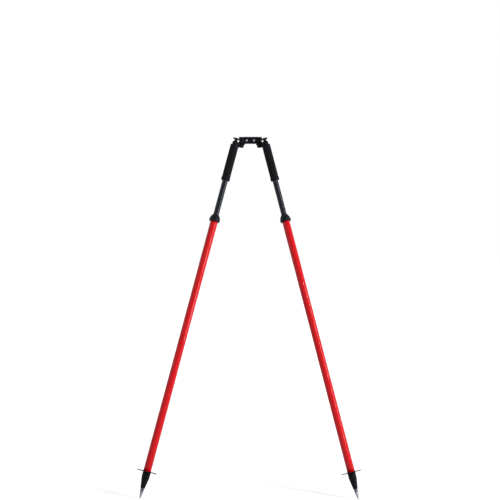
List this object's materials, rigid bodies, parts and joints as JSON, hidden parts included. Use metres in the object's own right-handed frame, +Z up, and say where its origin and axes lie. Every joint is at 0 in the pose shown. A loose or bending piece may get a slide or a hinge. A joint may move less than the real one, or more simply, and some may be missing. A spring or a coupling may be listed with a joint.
{
  "type": "prism pole bipod",
  "caption": "Surveyor's bipod: a pinch clamp head grips an upright pole, and telescoping red legs with thumb releases swivel and splay from it to spiked feet with step plates.",
  "frame": {"origin": "middle of the pole clamp, on the pole's axis", "axes": "+Z up along the pole, the legs stand towards -Y (the front), +X to the right seen from the front"},
  "size_m": [0.725, 0.4035, 1.16],
  "materials": {
    "black_casting": "satin black coat over cast aluminium",
    "black_anodised": "satin black anodised tube",
    "black_rubber": "matte",
    "black_plastic": "satin moulding",
    "red_paint": "gloss red coat over drawn aluminium tube",
    "plated_steel": "satin plated",
    "bright_steel": "satin",
    "dark_steel": "black oxide",
    "brass": "turned",
    "nylon": "natural nylon",
    "bare_aluminium": "drawn"
  },
  "bodies": {
    "head": {"clamp_collar": "black_casting", "pole_liner": "black_rubber", "head_bar": "black_casting", "bar_screws": "bright_steel", "clamp_nut": "brass"},
    "clamp_washer": {"clamp_washer": "bright_steel"},
    "clamp_knob": {"clamp_knob": "black_plastic", "clamp_stud": "bright_steel"},
    "left_knuckle": {"left_knuckle": "black_casting", "left_swivel_bolt": "dark_steel", "left_swivel_washer": "black_plastic", "left_hinge_bolt": "dark_steel", "left_hinge_nut": "dark_steel"},
    "left_upper_leg": {"left_leg_head": "black_casting", "left_grip": "black_rubber", "left_inner_tube": "black_anodised", "left_spring_seat": "brass", "left_clutch_body": "brass", "left_return_spring": "bright_steel"},
    "left_release": {"left_thumb_button": "black_plastic", "left_release_rod": "bare_aluminium", "left_clutch_cone": "brass"},
    "left_shoe_a": {"left_shoe_a": "nylon"},
    "left_shoe_b": {"left_shoe_b": "nylon"},
    "left_lower_leg": {"left_outer_tube": "red_paint", "left_guide_collar": "black_plastic", "left_foot": "black_casting", "left_step_plate": "dark_steel", "left_foot_rivet": "dark_steel", "left_steel_point": "plated_steel"},
    "right_knuckle": {"right_knuckle": "black_casting", "right_swivel_bolt": "dark_steel", "right_swivel_washer": "black_plastic", "right_hinge_bolt": "dark_steel", "right_hinge_nut": "dark_steel"},
    "right_upper_leg": {"right_leg_head": "black_casting", "right_grip": "black_rubber", "right_inner_tube": "black_anodised", "right_spring_seat": "brass", "right_clutch_body": "brass", "right_return_spring": "bright_steel"},
    "right_release": {"right_thumb_button": "black_plastic", "right_release_rod": "bare_aluminium", "right_clutch_cone": "brass"},
    "right_shoe_a": {"right_shoe_a": "nylon"},
    "right_shoe_b": {"right_shoe_b": "nylon"},
    "right_lower_leg": {"right_outer_tube": "red_paint", "right_guide_collar": "black_plastic", "right_foot": "black_casting", "right_step_plate": "dark_steel", "right_foot_rivet": "dark_steel", "right_steel_point": "plated_steel"}
  },
  "joints": [
    {"name": "clamp_draw", "type": "slide", "parent": "head", "child": "clamp_washer", "axis": [1, 0, 0], "range_m": [0, 0.002]},
    {"name": "clamp_turn", "type": "hinge", "parent": "clamp_washer", "child": "clamp_knob", "pos_m": [0.015, 0.02952, 0], "axis": [1, 0, 0], "range_deg": [0, 730]},
    {"name": "left_swivel", "type": "hinge", "parent": "head", "child": "left_knuckle", "pos_m": [-0.0295, -0.03, 0], "axis": [0, 0, -1], "range_deg": [-30, 30]},
    {"name": "left_splay", "type": "hinge", "parent": "left_knuckle", "child": "left_upper_leg", "pos_m": [-0.0295, -0.03, -0.0185], "axis": [-0.7071, 0.7071, 0], "range_deg": [-20.5, 11]},
    {"name": "left_extend", "type": "slide", "parent": "left_upper_leg", "child": "left_lower_leg", "axis": [-0.2476, -0.2476, -0.9367], "range_m": [-0.1205, 0.538]},
    {"name": "left_release", "type": "slide", "parent": "left_upper_leg", "child": "left_release", "axis": [-0.2476, -0.2476, -0.9367], "range_m": [0, 0.005], "stiffness_N_per_m": 1000, "springref_m": -0.006, "deforming": ["left_return_spring"]},
    {"name": "left_shoe_a_draw", "type": "slide", "parent": "left_upper_leg", "child": "left_shoe_a", "axis": [0.7071, -0.7071, 0], "range_m": [0, 0.00041]},
    {"name": "left_shoe_b_draw", "type": "slide", "parent": "left_upper_leg", "child": "left_shoe_b", "axis": [-0.7071, 0.7071, 0], "range_m": [0, 0.00041]},
    {"name": "right_swivel", "type": "hinge", "parent": "head", "child": "right_knuckle", "pos_m": [0.0295, -0.03, 0], "axis": [0, 0, 1], "range_deg": [-30, 30]},
    {"name": "right_splay", "type": "hinge", "parent": "right_knuckle", "child": "right_upper_leg", "pos_m": [0.0295, -0.03, -0.0185], "axis": [-0.7071, -0.7071, 0], "range_deg": [-20.5, 11]},
    {"name": "right_extend", "type": "slide", "parent": "right_upper_leg", "child": "right_lower_leg", "axis": [0.2476, -0.2476, -0.9367], "range_m": [-0.1205, 0.538]},
    {"name": "right_release", "type": "slide", "parent": "right_upper_leg", "child": "right_release", "axis": [0.2476, -0.2476, -0.9367], "range_m": [0, 0.005], "stiffness_N_per_m": 1000, "springref_m": -0.006, "deforming": ["right_return_spring"]},
    {"name": "right_shoe_a_draw", "type": "slide", "parent": "right_upper_leg", "child": "right_shoe_a", "axis": [-0.7071, -0.7071, 0], "range_m": [0, 0.00041]},
    {"name": "right_shoe_b_draw", "type": "slide", "parent": "right_upper_leg", "child": "right_shoe_b", "axis": [0.7071, 0.7071, 0], "range_m": [0, 0.00041]}
  ],
  "couplings": [
    {"joint": "clamp_turn", "follows": "clamp_draw", "rad_per_m": 6283.2},
    {"joint": "left_shoe_a_draw", "follows": "left_release", "ratio": 0.08},
    {"joint": "left_shoe_b_draw", "follows": "left_release", "ratio": 0.08},
    {"joint": "right_shoe_a_draw", "follows": "right_release", "ratio": 0.08},
    {"joint": "right_shoe_b_draw", "follows": "right_release", "ratio": 0.08}
  ]
}
